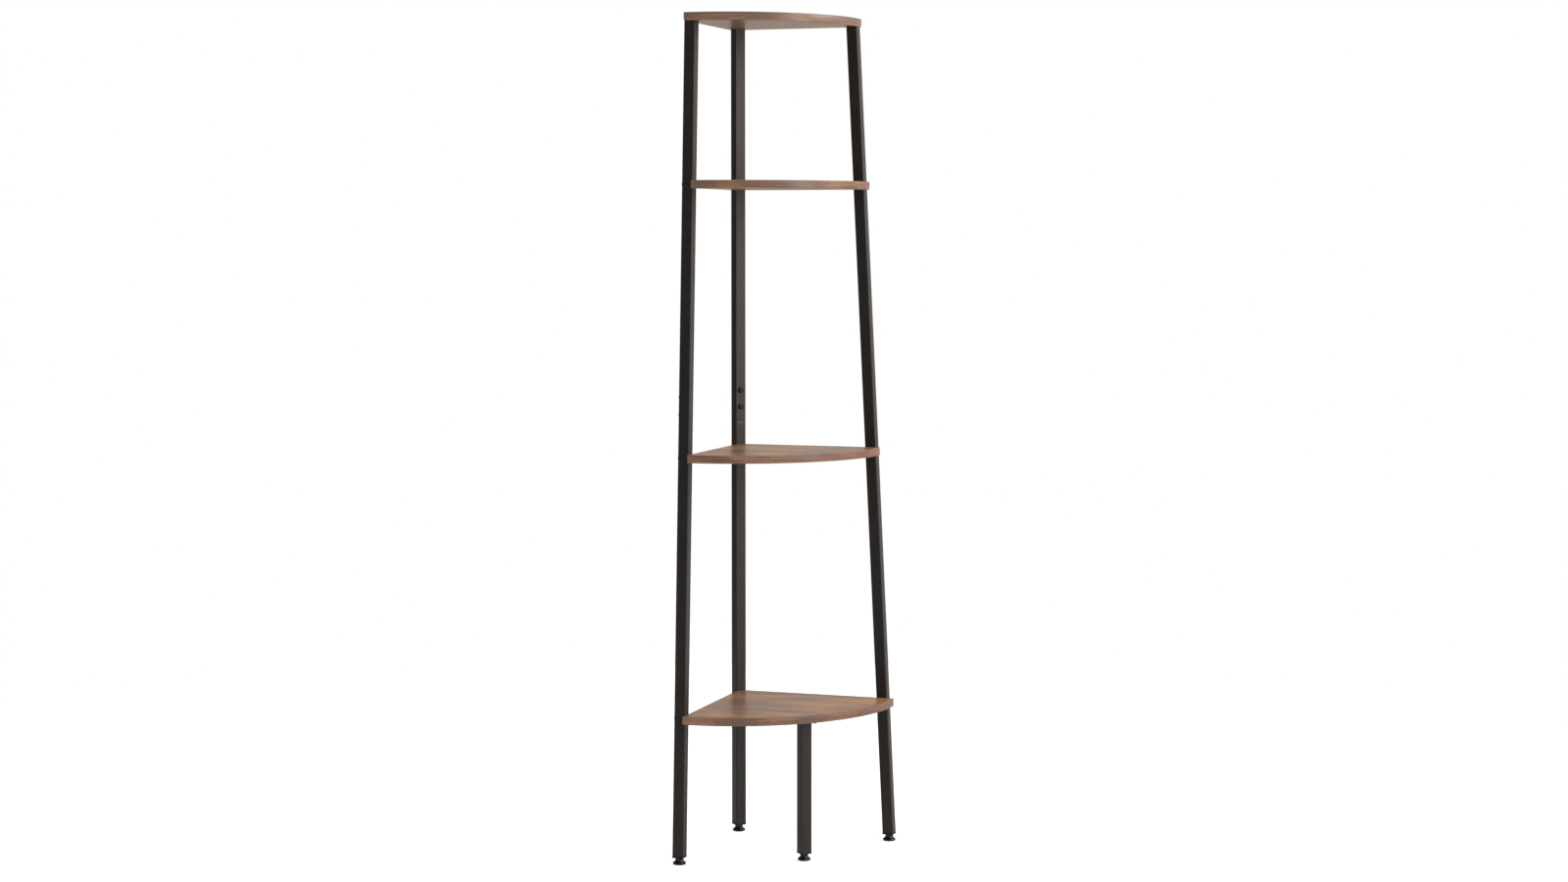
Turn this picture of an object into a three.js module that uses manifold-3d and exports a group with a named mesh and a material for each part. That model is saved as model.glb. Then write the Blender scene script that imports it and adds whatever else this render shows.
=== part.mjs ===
// Corner shelf unit: four quarter-round boards on three long legs and one short front leg.
// Millimetres, +Z up. The right-hand wall edge runs along +X and the left-hand one along -Y.
import * as THREE from 'three';
import { mergeVertices } from 'three/addons/utils/BufferGeometryUtils.js';
import Module from 'manifold-3d';

const wasm = await Module();
wasm.setup();

// Clearances
const seatGap = 0.3;
const cutOverrun = 2;
const weldTolerance = 0.0005;

// Boards
const unitHeight = 1550;
const boardThickness = 15;
const boardEdgeEase = 0.6;
const upperShelfTop = 1247;
const middleShelfTop = 750;
const bottomShelfTop = 275;

// How far each board runs on past the axis of the side leg at its own height
const topBoardOverhang = 13;
const upperShelfOverhang = 22;
const middleShelfOverhang = 19;
const bottomShelfOverhang = 24;

// Square tube of the legs, and where the side legs stand along the walls at head and foot
const tubeSide = 21;
const tubeWall = 1.2;
const tubeCorner = 1.8;
const sideLegHeadReach = 245;
const sideLegFootReach = 320;
const frontLegSetback = 33;

// Joint of each long leg: a sleeve sunk in the lower tube stands up into the upper one, which two
// button-head screws hold to it, the upper one a margin below the sleeve's end
const jointRise = 41;
const sleeveLength = 108;
const sleeveSunk = 30;
const sleeveWall = 1.5;
const sleeveCorner = 1;
const jointScrewMargin = 16;
const jointScrewSpacing = 31;
const jointScrewReach = 5;

// Button-head bolts and screws of the frame
const boltDiameter = 6;
const boltHeadDiameter = 11;
const boltHeadHeight = 2.5;
const boltSocketAcross = 4;
const boltSocketDepth = 1.7;
const boltPointLength = 1;

// Threaded inserts in the edges of the boards
const insertWall = 1.5;
const insertLength = 13;
const insertBevel = 0.5;

// Countersunk bolts of the top board
const topBoltHeadDiameter = 12;
const topBoltHeadHeight = 3.5;
const topBoltThreadReach = 14;

// Threaded plugs in the ends of the tubes; the lower ones have a lip that covers the tube's end
const plugLength = 20;
const plugCorner = 1;
const plugLipSide = 22.6;
const plugLipHeight = 2;
const plugLipCorner = 3;

// Levelling feet
const footHeight = 12.7;
const footDiameter = 24;
const footRimHeight = 4.8;
const footSoleDiameter = 20;
const footWaistDiameter = 15;
const footHubDiameter = 17;
const footSocketDepth = 8;
const studDiameter = 8;
const studLength = 40;
const studPointLength = 1;

// Fixing plate on the front leg and its wood screws
const plateSide = 40;
const plateThickness = 2;
const plateCorner = 4;
const plateHoleInset = 6;
const plateScrewDiameter = 3.5;
const plateScrewHeadDiameter = 7;
const plateScrewHeadHeight = 2.2;
const plateScrewLength = 12;
const plateScrewPointLength = 3;

// Number of steps round each kind of curve
const frontArcSteps = 20;
const tubeCornerSteps = 2;
const boltSides = 12;
const insertSides = 12;
const footSides = 24;

// Heights and slopes that follow from the sizes above
const legHead = unitHeight - boardThickness - seatGap;
const legFoot = footHeight + seatGap;
const tubeFoot = legFoot + plugLipHeight + seatGap;
const sideLean = (sideLegFootReach - sideLegHeadReach) / (legHead - legFoot);
const sideReachAt = (z) => sideLegHeadReach + sideLean * (legHead - z);
const boardInset = tubeSide + seatGap;
const insertDiameter = boltDiameter + 2 * (insertWall + seatGap);
const jointHeight = middleShelfTop + jointRise;
const sleeveFoot = jointHeight - sleeveSunk;
const upperJointScrew = sleeveFoot + sleeveLength - jointScrewMargin;
const jointScrewHeights = [upperJointScrew, upperJointScrew - jointScrewSpacing];

// Finishes
const finishes = {
  woodgrain: { color: 0x8a6248, roughness: 0.42, metalness: 0 },
  frame: { color: 0x232121, roughness: 0.5, metalness: 0.2 },
  blackScrew: { color: 0x1b1a1a, roughness: 0.4, metalness: 0.6 },
  zinc: { color: 0xb4b6b8, roughness: 0.35, metalness: 1 },
  plastic: { color: 0x151515, roughness: 0.4, metalness: 0 },
};

function solidOf(geometry) {
  const bare = geometry.clone();
  bare.deleteAttribute('normal');
  bare.deleteAttribute('uv');
  const merged = mergeVertices(bare, weldTolerance);
  const corners = merged.index.array;
  const triangles = [];
  for (let i = 0; i < corners.length; i += 3) {
    const [a, b, c] = [corners[i], corners[i + 1], corners[i + 2]];
    if (a !== b && b !== c && c !== a) triangles.push(a, b, c);
  }
  return new wasm.Manifold(new wasm.Mesh({
    numProp: 3,
    vertProperties: new Float32Array(merged.attributes.position.array),
    triVerts: new Uint32Array(triangles),
  }));
}

function geometryOf(solid) {
  const mesh = solid.getMesh();
  const geometry = new THREE.BufferGeometry();
  geometry.setAttribute('position', new THREE.BufferAttribute(mesh.vertProperties, 3));
  geometry.setIndex(new THREE.BufferAttribute(mesh.triVerts, 1));
  geometry.computeVertexNormals();
  return geometry;
}

function cut(geometry, tools) {
  return tools.reduce((solid, tool) => solid.subtract(solidOf(tool)), solidOf(geometry));
}

function piece(name, solid, finish) {
  const mesh = new THREE.Mesh(geometryOf(solid), new THREE.MeshStandardMaterial(finishes[finish]));
  mesh.name = name;
  return mesh;
}

// Square with round corners, about the origin
function roundedSquare(side, corner) {
  const half = side / 2;
  const inner = half - corner;
  const outline = new THREE.Shape();
  outline.moveTo(inner, -half);
  outline.absarc(inner, -inner, corner, -Math.PI / 2, 0);
  outline.absarc(inner, inner, corner, 0, Math.PI / 2);
  outline.absarc(-inner, inner, corner, Math.PI / 2, Math.PI);
  outline.absarc(-inner, -inner, corner, Math.PI, 3 * Math.PI / 2);
  return outline;
}

// Upright prism of an outline between two heights
function prism(outline, low, high, steps) {
  const options = { depth: high - low, bevelEnabled: false, curveSegments: steps };
  return new THREE.ExtrudeGeometry(outline, options).translate(0, 0, low);
}

// Rod along Y from one place to another
function rodAlongY(radius, from, to, sides) {
  return new THREE.CylinderGeometry(radius, radius, to - from, sides).translate(0, (from + to) / 2, 0);
}

// Solid of revolution about Y through points given as [radius, place along Y], listed upwards
function turned(points, sides) {
  return new THREE.LatheGeometry(points.map(([r, y]) => new THREE.Vector2(r, y)), sides);
}

// Hexagonal rod along Y, for the socket of a screw
function hexAlongY(acrossFlats, from, to) {
  return rodAlongY(acrossFlats / Math.sqrt(3), from, to, 6);
}

// Leans a geometry in its leg's frame: each level slides sideways, so level ends stay level
function leaned(geometry, lean) {
  const shear = new THREE.Matrix4().makeShear(0, 0, 0, 0, -lean, 0);
  return geometry.applyMatrix4(shear).translate(lean * legHead, 0, 0);
}

// Legs. In a leg's own frame the boards lie towards +Y, and it leans along X. The joint screws go in
// from the wall side (-Y), or with a half turn from the side of the boards.
const rearAxis = boardInset - seatGap / Math.SQRT2;
const bottomShelfReach = sideReachAt(bottomShelfTop) + bottomShelfOverhang;
const bottomShelfApex = boardInset + (bottomShelfReach - boardInset) / Math.SQRT2;
const frontAxis = bottomShelfApex - frontLegSetback / Math.SQRT2;
const legs = {
  left: { x: tubeSide / 2, y: -sideLegHeadReach, turn: -Math.PI / 2, lean: sideLean, screwTurn: 0 },
  right: { x: sideLegHeadReach, y: -tubeSide / 2, turn: Math.PI, lean: -sideLean, screwTurn: 0 },
  rear: { x: rearAxis, y: -rearAxis, turn: -3 * Math.PI / 4, lean: 0, screwTurn: Math.PI },
  front: { x: frontAxis, y: -frontAxis, turn: -3 * Math.PI / 4, lean: 0 },
};
const longLegs = ['left', 'right', 'rear'];

function legFrame(leg) {
  return new THREE.Matrix4().makeRotationZ(leg.turn).setPosition(leg.x, leg.y, 0);
}

// Place of a leg's axis at a height, along X in its own frame
function axisAt(leg, z) {
  return leg.lean * (legHead - z);
}

// Boards, from the top down, with the height at which the lower three are bolted
const shelves = [
  { name: 'upper_shelf', top: upperShelfTop, overhang: upperShelfOverhang },
  { name: 'middle_shelf', top: middleShelfTop, overhang: middleShelfOverhang },
  { name: 'bottom_shelf', top: bottomShelfTop, overhang: bottomShelfOverhang },
];
const boltHeight = (shelf) => shelf.top - boardThickness / 2;

// Board with eased edges, its upper face at a height
function boardSlab(outline, top) {
  const options = {
    depth: boardThickness - 2 * boardEdgeEase,
    bevelThickness: boardEdgeEase,
    bevelSize: boardEdgeEase,
    bevelOffset: -boardEdgeEase,
    bevelSegments: 1,
    curveSegments: frontArcSteps,
  };
  const slab = new THREE.ExtrudeGeometry(outline, options);
  return slab.translate(0, 0, top - boardThickness + boardEdgeEase);
}

// Top board: a quarter disc over the heads of the legs, with its sharp corner in the room's corner
function topBoard() {
  const reach = sideLegHeadReach + topBoardOverhang;
  const outline = new THREE.Shape();
  outline.moveTo(0, 0);
  outline.lineTo(0, -reach);
  outline.absarc(0, 0, reach, -Math.PI / 2, 0);
  outline.lineTo(0, 0);
  const holes = longLegs.map((side) => topBoltHole(legs[side]));
  return piece('top_board', cut(boardSlab(outline, unitHeight), holes), 'woodgrain');
}

// Countersunk hole through the top board over a leg
function topBoltHole(leg) {
  const shankRadius = boltDiameter / 2 + seatGap;
  const headRadius = topBoltHeadDiameter / 2 + seatGap;
  const headTop = unitHeight - seatGap;
  const profile = [
    [0, legHead - cutOverrun],
    [shankRadius, legHead - cutOverrun],
    [shankRadius, headTop - topBoltHeadHeight],
    [headRadius, headTop],
    [headRadius, unitHeight + cutOverrun],
    [0, unitHeight + cutOverrun],
  ];
  return turned(profile, boltSides).rotateX(Math.PI / 2).translate(leg.x, leg.y, 0);
}

// Lower board: a quarter disc set in from both walls by the legs, its corner cut off for the rear leg
function shelfBoard(shelf) {
  const reach = sideReachAt(shelf.top) + shelf.overhang;
  const cornerCut = tubeSide / Math.SQRT2;
  const outline = new THREE.Shape();
  outline.moveTo(boardInset, -boardInset - cornerCut);
  outline.lineTo(boardInset, -reach);
  outline.absarc(boardInset, -boardInset, reach - boardInset, -Math.PI / 2, 0);
  outline.lineTo(boardInset + cornerCut, -boardInset);
  const holes = longLegs.map((side) => insertHole(legs[side], boltHeight(shelf)));
  if (shelf.name === 'bottom_shelf') holes.push(...plateScrewHoles());
  return piece(shelf.name, cut(boardSlab(outline, shelf.top), holes), 'woodgrain');
}

// Blind hole in a board's edge for the threaded insert of one leg
function insertHole(leg, z) {
  const face = tubeSide / 2;
  const depth = face + seatGap + insertLength + 2 * seatGap;
  const hole = rodAlongY(insertDiameter / 2 + seatGap, face - cutOverrun, depth, insertSides);
  return hole.translate(axisAt(leg, z), 0, z).applyMatrix4(legFrame(leg));
}

// Pilot holes in the bottom shelf for the wood screws of the front leg's plate
function plateScrewHoles() {
  const low = bottomShelfTop - boardThickness;
  const depth = plateScrewLength - plateThickness;
  return platePlaces().map(([x, y]) => {
    const hole = rodAlongY(plateScrewDiameter / 2 + seatGap, -cutOverrun, depth, boltSides);
    return hole.rotateX(Math.PI / 2).translate(x, y, low).applyMatrix4(legFrame(legs.front));
  });
}

// Places of the four plate screws in the front leg's frame
function platePlaces() {
  const place = plateSide / 2 - plateHoleInset;
  return [[place, place], [-place, place], [-place, -place], [place, -place]];
}

// Section of the leg tube
function tubeOutline() {
  const outline = roundedSquare(tubeSide, tubeCorner);
  outline.holes.push(roundedSquare(tubeSide - 2 * tubeWall, tubeCorner - tubeWall));
  return outline;
}

// Hole through both walls of a leg for a board bolt
function boltHole(leg, z) {
  const reach = tubeSide / 2 + cutOverrun;
  const hole = rodAlongY(boltDiameter / 2 + seatGap, -reach, reach, boltSides);
  return hole.translate(axisAt(leg, z), 0, z);
}

// Hole through one wall of a leg for a joint screw
function jointScrewHole(leg, z) {
  const hole = rodAlongY(boltDiameter / 2 + seatGap, -tubeSide / 2 - cutOverrun, 0, boltSides);
  return hole.rotateZ(leg.screwTurn).translate(axisAt(leg, z), 0, z);
}

// Length of leg tube between two heights, drilled where a board bolt or a joint screw goes through
function legTube(name, leg, low, high) {
  const tube = leaned(prism(tubeOutline(), low, high, tubeCornerSteps), leg.lean);
  const within = (z) => z > low && z < high;
  const boltHoles = shelves.map(boltHeight).filter(within).map((z) => boltHole(leg, z));
  const screwHoles = jointScrewHeights.filter(within).map((z) => jointScrewHole(leg, z));
  return piece(name, cut(tube, [...boltHoles, ...screwHoles]), 'frame');
}

// Sleeve inside the joint of a long leg
function jointSleeve(name, leg) {
  const side = tubeSide - 2 * (tubeWall + seatGap);
  const outline = roundedSquare(side, sleeveCorner + sleeveWall);
  outline.holes.push(roundedSquare(side - 2 * sleeveWall, sleeveCorner));
  const sleeve = leaned(prism(outline, sleeveFoot, sleeveFoot + sleeveLength, tubeCornerSteps), leg.lean);
  return piece(name, cut(sleeve, jointScrewHeights.map((z) => jointScrewHole(leg, z))), 'zinc');
}

// Button-head screw along +Y, the underside of its head at the origin
function buttonScrew(name, length, finish) {
  const headRadius = boltHeadDiameter / 2;
  const crownShares = [[0.5, 1], [0.8, 0.78], [1, 0.2], [1, 0]];
  const crown = crownShares.map(([r, h]) => [r * headRadius, -h * boltHeadHeight]);
  const profile = [
    [0, -boltHeadHeight],
    ...crown,
    [boltDiameter / 2, 0],
    [boltDiameter / 2, length - boltPointLength],
    [boltDiameter / 2 - boltPointLength, length],
    [0, length],
  ];
  const socketFloor = boltSocketDepth - boltHeadHeight;
  const socket = hexAlongY(boltSocketAcross, -boltHeadHeight - cutOverrun, socketFloor);
  return piece(name, cut(turned(profile, boltSides), [socket]), finish);
}

// Screw of a leg's joint, through the tube and its sleeve
function jointScrew(name, leg, z) {
  const length = seatGap + tubeWall + seatGap + sleeveWall + jointScrewReach;
  const screw = buttonScrew(name, length, 'blackScrew');
  screw.rotation.z = leg.screwTurn;
  screw.position.set(axisAt(leg, z), -Math.cos(leg.screwTurn) * (tubeSide / 2 + seatGap), z);
  return screw;
}

// Bolt that goes through a leg from its wall side into a board
function boardBolt(name, leg, z) {
  const bolt = buttonScrew(name, tubeSide + 2 * seatGap + insertLength, 'blackScrew');
  bolt.position.set(axisAt(leg, z), -tubeSide / 2 - seatGap, z);
  return bolt;
}

// Threaded insert in a board's edge
function boardInsert(name, leg, z) {
  const outer = insertDiameter / 2;
  const inner = boltDiameter / 2 + seatGap;
  const profile = [
    [inner, 0],
    [outer, 0],
    [outer, insertLength - insertBevel],
    [outer - insertBevel, insertLength],
    [inner, insertLength],
    [inner, 0],
  ];
  const insert = piece(name, solidOf(turned(profile, insertSides)), 'zinc');
  insert.position.set(axisAt(leg, z), tubeSide / 2 + 2 * seatGap, z);
  return insert;
}

// Body of a threaded plug, from a height up into its tube
function plugBody(leg, low) {
  const outline = roundedSquare(tubeSide - 2 * (tubeWall + seatGap), plugCorner);
  return solidOf(leaned(prism(outline, low, low + plugLength, tubeCornerSteps), leg.lean));
}

// Upright bore through a plug
function plugBore(diameter, low, x) {
  const top = low + plugLength + cutOverrun;
  const bore = rodAlongY(diameter / 2 + seatGap, low - cutOverrun, top, boltSides);
  return solidOf(bore.rotateX(Math.PI / 2).translate(x, 0, 0));
}

// Plug in the head of a long leg, which takes the top board's bolt
function headPlug(name, leg) {
  const low = legHead - plugLength;
  return piece(name, plugBody(leg, low).subtract(plugBore(boltDiameter, low, 0)), 'plastic');
}

// Plug in the lower end of a leg, which takes the foot's stud, with its lip under the tube
function footPlug(name, leg) {
  const outline = roundedSquare(plugLipSide, plugLipCorner);
  const lip = leaned(prism(outline, legFoot, legFoot + plugLipHeight, tubeCornerSteps), leg.lean);
  const bore = plugBore(studDiameter, legFoot, axisAt(leg, legFoot));
  return piece(name, plugBody(leg, legFoot).add(solidOf(lip)).subtract(bore), 'plastic');
}

// Countersunk bolt of the top board, hanging down from just under the board's face
function topBolt(name) {
  const under = topBoltHeadHeight + seatGap;
  const length = boardThickness + topBoltThreadReach;
  const profile = [
    [0, -length],
    [boltDiameter / 2 - boltPointLength, -length],
    [boltDiameter / 2, boltPointLength - length],
    [boltDiameter / 2, -under],
    [topBoltHeadDiameter / 2, -seatGap],
    [0, -seatGap],
  ];
  const socket = hexAlongY(boltSocketAcross, -seatGap - boltSocketDepth, cutOverrun);
  const bolt = piece(name, cut(turned(profile, boltSides), [socket]), 'blackScrew');
  bolt.rotation.x = Math.PI / 2;
  bolt.position.z = unitHeight;
  return bolt;
}

// Base of a levelling foot: a round sole, a rounded rim and a waisted hub, with a socket for the stud
function footBase(name) {
  const rim = footDiameter / 2;
  const sole = footSoleDiameter / 2;
  const waist = footWaistDiameter / 2;
  const hub = footHubDiameter / 2;
  const rise = footHeight - footRimHeight;
  const rimShares = [[0.55, 0.12], [0.95, 0.35], [1, 0.6], [0.8, 0.88], [0.35, 1]];
  const waistShares = [[0.62, 0.08], [0.25, 0.24], [0, 0.55]];
  const flareShares = [[0, 0.7], [0.35, 0.88], [1, 1]];
  const profile = [
    [0, 0],
    [sole, 0],
    ...rimShares.map(([r, h]) => [sole + r * (rim - sole), h * footRimHeight]),
    ...waistShares.map(([r, h]) => [waist + r * (sole - waist), footRimHeight + h * rise]),
    ...flareShares.map(([r, h]) => [waist + r * (hub - waist), footRimHeight + h * rise]),
    [studDiameter / 2 + seatGap, footHeight],
    [studDiameter / 2 + seatGap, footHeight - footSocketDepth],
    [0, footHeight - footSocketDepth],
  ];
  const base = piece(name, solidOf(turned(profile, footSides)), 'plastic');
  base.rotation.x = Math.PI / 2;
  return base;
}

// Steel stud of a levelling foot
function footStud(name) {
  const radius = studDiameter / 2;
  const low = footHeight - footSocketDepth + seatGap;
  const profile = [
    [0, low],
    [radius, low],
    [radius, low + studLength - studPointLength],
    [radius - studPointLength, low + studLength],
    [0, low + studLength],
  ];
  const stud = piece(name, solidOf(turned(profile, boltSides)), 'zinc');
  stud.rotation.x = Math.PI / 2;
  return stud;
}

// Levelling foot with the plug that it screws into, at the lower end of a leg
function levellingFoot(name, leg) {
  const x = axisAt(leg, legFoot);
  const base = footBase(`${name}_foot_base`);
  const stud = footStud(`${name}_foot_stud`);
  base.position.x = x;
  stud.position.x = x;
  return [base, stud, footPlug(`${name}_foot_plug`, leg)];
}

// Long leg with its joint, its fixings to the boards and its foot, in its own frame
function longLeg(side) {
  const leg = legs[side];
  const [upperScrew, lowerScrew] = jointScrewHeights;
  const group = new THREE.Group();
  group.add(
    legTube(`${side}_leg_upper_tube`, leg, jointHeight + seatGap, legHead),
    legTube(`${side}_leg_lower_tube`, leg, tubeFoot, jointHeight),
    jointSleeve(`${side}_leg_joint_sleeve`, leg),
    jointScrew(`${side}_leg_joint_screw_upper`, leg, upperScrew),
    jointScrew(`${side}_leg_joint_screw_lower`, leg, lowerScrew),
    headPlug(`${side}_leg_top_plug`, leg),
    topBolt(`top_board_bolt_${side}`),
    ...levellingFoot(side, leg),
  );
  for (const shelf of shelves) {
    group.add(boardBolt(`${shelf.name}_bolt_${side}`, leg, boltHeight(shelf)));
    group.add(boardInsert(`${shelf.name}_insert_${side}`, leg, boltHeight(shelf)));
  }
  group.position.set(leg.x, leg.y, 0);
  group.rotation.z = leg.turn;
  return group;
}

// Tube of the front leg with its fixing plate welded on top
function frontLegTube() {
  const plateTop = bottomShelfTop - boardThickness - seatGap;
  const plateLow = plateTop - plateThickness;
  const tube = prism(tubeOutline(), tubeFoot, plateLow + plateThickness / 2, tubeCornerSteps);
  const plateOutline = roundedSquare(plateSide, plateCorner);
  const plate = prism(plateOutline, plateLow, plateTop, tubeCornerSteps);
  const radius = plateScrewDiameter / 2 + seatGap;
  const holes = platePlaces().map(([x, y]) => {
    const hole = rodAlongY(radius, plateLow - cutOverrun, plateTop + cutOverrun, boltSides);
    return hole.rotateX(Math.PI / 2).translate(x, y, 0);
  });
  return piece('front_leg_tube', cut(plate, holes).add(solidOf(tube)), 'frame');
}

// Wood screw of the fixing plate, pointing up, the underside of its head at the origin
function plateScrew(name) {
  const radius = plateScrewDiameter / 2;
  const headRadius = plateScrewHeadDiameter / 2;
  const headShares = [[0.6, 1], [0.9, 0.75], [1, 0.3], [1, 0]];
  const length = plateScrewLength - 2 * seatGap;
  const profile = [
    [0, -plateScrewHeadHeight],
    ...headShares.map(([r, h]) => [r * headRadius, -h * plateScrewHeadHeight]),
    [radius, 0],
    [radius, length - plateScrewPointLength],
    [0, length],
  ];
  return piece(name, solidOf(turned(profile, boltSides)), 'blackScrew');
}

// Short front leg under the bottom shelf, in its own frame
function frontLeg() {
  const leg = legs.front;
  const plateLow = bottomShelfTop - boardThickness - seatGap - plateThickness;
  const group = new THREE.Group();
  group.add(frontLegTube(), ...levellingFoot('front', leg));
  platePlaces().forEach(([x, y], i) => {
    const screw = plateScrew(`front_leg_plate_screw_${i + 1}`);
    screw.rotation.x = Math.PI / 2;
    screw.position.set(x, y, plateLow - seatGap);
    group.add(screw);
  });
  group.position.set(leg.x, leg.y, 0);
  group.rotation.z = leg.turn;
  return group;
}

// The whole unit, moved so that the middle of its box stands over the origin
const unit = new THREE.Group();
unit.add(topBoard(), ...shelves.map(shelfBoard), ...longLegs.map(longLeg), frontLeg());
const wallSide = -seatGap - boltHeadHeight;
const roomSide = Math.max(bottomShelfReach, sideLegFootReach + footDiameter / 2);
const middle = (roomSide + wallSide) / 2;
unit.position.set(-middle, middle, 0);

export default unit;
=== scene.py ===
import bmesh
import bpy
import numpy as np
from mathutils import Euler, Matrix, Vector
from mathutils.geometry import delaunay_2d_cdt


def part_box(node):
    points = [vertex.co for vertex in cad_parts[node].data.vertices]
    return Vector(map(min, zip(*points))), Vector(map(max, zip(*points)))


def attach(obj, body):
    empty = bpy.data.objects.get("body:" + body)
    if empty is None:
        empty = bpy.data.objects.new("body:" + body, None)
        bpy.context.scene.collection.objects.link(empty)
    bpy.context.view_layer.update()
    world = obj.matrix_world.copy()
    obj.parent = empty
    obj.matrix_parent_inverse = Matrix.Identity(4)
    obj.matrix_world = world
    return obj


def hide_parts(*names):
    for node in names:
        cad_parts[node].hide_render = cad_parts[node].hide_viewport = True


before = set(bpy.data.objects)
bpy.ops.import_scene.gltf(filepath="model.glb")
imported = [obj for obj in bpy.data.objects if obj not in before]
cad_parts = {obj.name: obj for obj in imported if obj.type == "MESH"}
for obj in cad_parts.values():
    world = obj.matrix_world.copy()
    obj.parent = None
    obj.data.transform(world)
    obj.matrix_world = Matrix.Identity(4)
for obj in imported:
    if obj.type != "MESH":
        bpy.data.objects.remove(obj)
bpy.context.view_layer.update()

# Every mesh
JOIN_DISTANCE = 1e-7
SMALLEST_SINE = 1e-6
SHARP_ANGLE = 30.0
ARRIS_ANGLE = 60.0

# Boards
BAND_THICKNESS = 0.001
BAND_EASE = 0.0007
BAND_CORNER = 0.0006
BAND_CORNER_STEPS = 3
GLUE_LINE = 0.0001
TOP_CORNER_CUT = 0.0012
ARC_STEPS = 120
EASE_STEPS = 4

# Tubes, plate and weld
TUBE_SIDE = 0.021
TUBE_WALL = 0.0012
TUBE_CORNER = 0.0018
TUBE_DEBURR = 0.0002
CORNER_STEPS = 8
FLAT_HOLD = 0.0003
PLATE_SIDE = 0.040
PLATE_THICKNESS = 0.002
PLATE_CORNER = 0.004
PLATE_EASE = 0.0003
WELD_LEG = 0.0022
WELD_RIPPLE = 0.0003
WELD_RIPPLE_LENGTH = 0.0025
WELD_SIDE_STEPS = 40
WELD_SHARP_ANGLE = 60.0
# Section of the bead as shares of its leg: outwards from the tube, and upwards from the plate
WELD_SECTION = [
    (-0.2, -0.9),
    (0.12, -1.0),
    (0.5, -0.8),
    (0.8, -0.5),
    (1.0, -0.12),
    (0.9, -0.02),
    (-0.2, -0.02),
]
SEAT_GAP = 0.0003

# Screws and bolts
SHANK_DIAMETER = 0.006
HEAD_DIAMETER = 0.011
HEAD_HEIGHT = 0.0025
HEAD_RIM = 0.00055
CROWN_FLAT_SHARE = 0.45
SOCKET_ACROSS = 0.004
SOCKET_MOUTH_ACROSS = 0.00432
SOCKET_LEAD = 0.00015
SOCKET_DEPTH = 0.0017
SOCKET_FLOOR_DIP = 0.00032
POINT_LENGTH = 0.001
INSERT_LENGTH = 0.013
JOINT_SCREW_LENGTH = 0.0083
TOP_HEAD_DIAMETER = 0.012
TOP_HEAD_HEIGHT = 0.0035
TOP_HEAD_RIM = 0.0003
TOP_HEAD_FACE_DIAMETER = 0.01176
TOP_SOCKET_MOUTH_ACROSS = 0.00424
TOP_SOCKET_MIDDLE_DEPTH = 0.001955
PLATE_SCREWS = 4
PLATE_SCREW_DIAMETER = 0.0035
PLATE_SCREW_HEAD_DIAMETER = 0.007
PLATE_SCREW_HEAD_HEIGHT = 0.0022
PLATE_SCREW_RIM = 0.00066
PLATE_SCREW_POINT = 0.003
CROSS_ARM = 0.0019
CROSS_HALF_WIDTH = 0.0006
CROSS_DEPTH = 0.0014
CROSS_WALL_DEPTH = 0.00126
CROSS_FLOOR_SHARE = 0.55
SCREW_SIDES = 48
CROWN_STEPS = 8
# Each screw has stopped at an angle of its own, in degrees. The joint screws' pairs are the first
# leg's angle and the step from leg to leg
BOLT_SPIN_PER_SHELF = 23.0
BOLT_SPIN_PER_LEG = 11.0
JOINT_SCREW_SPINS = {"upper": (14.0, 31.0), "lower": (47.0, 19.0)}
PLATE_SCREW_SPIN = 17.0

# Levelling feet
PLUG_LIP_SIDE = 0.0226
PLUG_LIP_HEIGHT = 0.002
PLUG_LIP_CORNER = 0.003
PLUG_LIP_EASE = 0.0004
PLUG_BODY_SIDE = 0.018
PLUG_BODY_CORNER = 0.001
STUD_DIAMETER = 0.008
THREAD_PITCH = 0.00125
THREAD_DEPTH = 0.00077
THREAD_ROWS = 8
THREAD_SIDES = 24
THREAD_SHARP_ANGLE = 25.0
# Height of the thread's full V, and how much of it is cut off at the root, as shares of the depth
THREAD_V = 1.25
THREAD_ROOT_CUT = 0.12
# Points of the foot's outline as shares of its rim radius and of its height
FOOT_RIM = [(0.83, 0.0), (0.90, 0.02), (0.965, 0.07), (1.0, 0.19), (0.985, 0.30), (0.91, 0.375)]
FOOT_WAIST = [
    (0.79, 0.42),
    (0.69, 0.52),
    (0.635, 0.64),
    (0.625, 0.74),
    (0.633, 0.84),
    (0.665, 0.93),
    (0.708, 1.0),
]
FOOT_SIDES = 72
FOOT_STEPS = 5
FOOT_SHARP_ANGLE = 50.0

# Camera, fitted to the outlines of the boards, legs and feet in the photograph. The photograph's
# own camera looked level through a lens shifted down. This one is tipped down instead, with no
# shift, so that the unit is whole from every other side too
CAMERA_PLACE = (1.565201, -4.726497, 1.150772)
CAMERA_YAW = 18.3687
CAMERA_PITCH = 4.3857
CAMERA_LENS = 62.1581
CAMERA_SENSOR = 36.0

# Way in which each leg leans from its head to its foot, and way to the boards from its wall side
DIAGONAL = 0.5**0.5
LEGS = {
    "left": {"lean": (0.0, -1.0), "inward": (1.0, 0.0)},
    "right": {"lean": (1.0, 0.0), "inward": (0.0, -1.0)},
    "rear": {"lean": (0.0, 0.0), "inward": (DIAGONAL, -DIAGONAL)},
    "front": {"lean": (0.0, 0.0), "inward": (-DIAGONAL, DIAGONAL)},
}
LONG_LEGS = ("left", "right", "rear")
SHELVES = ("upper_shelf", "middle_shelf", "bottom_shelf")


# Meshes

def node_box(node):
    """Lowest and highest corner of a CAD node as arrays."""
    low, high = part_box(node)
    return np.array(low), np.array(high)


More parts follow.
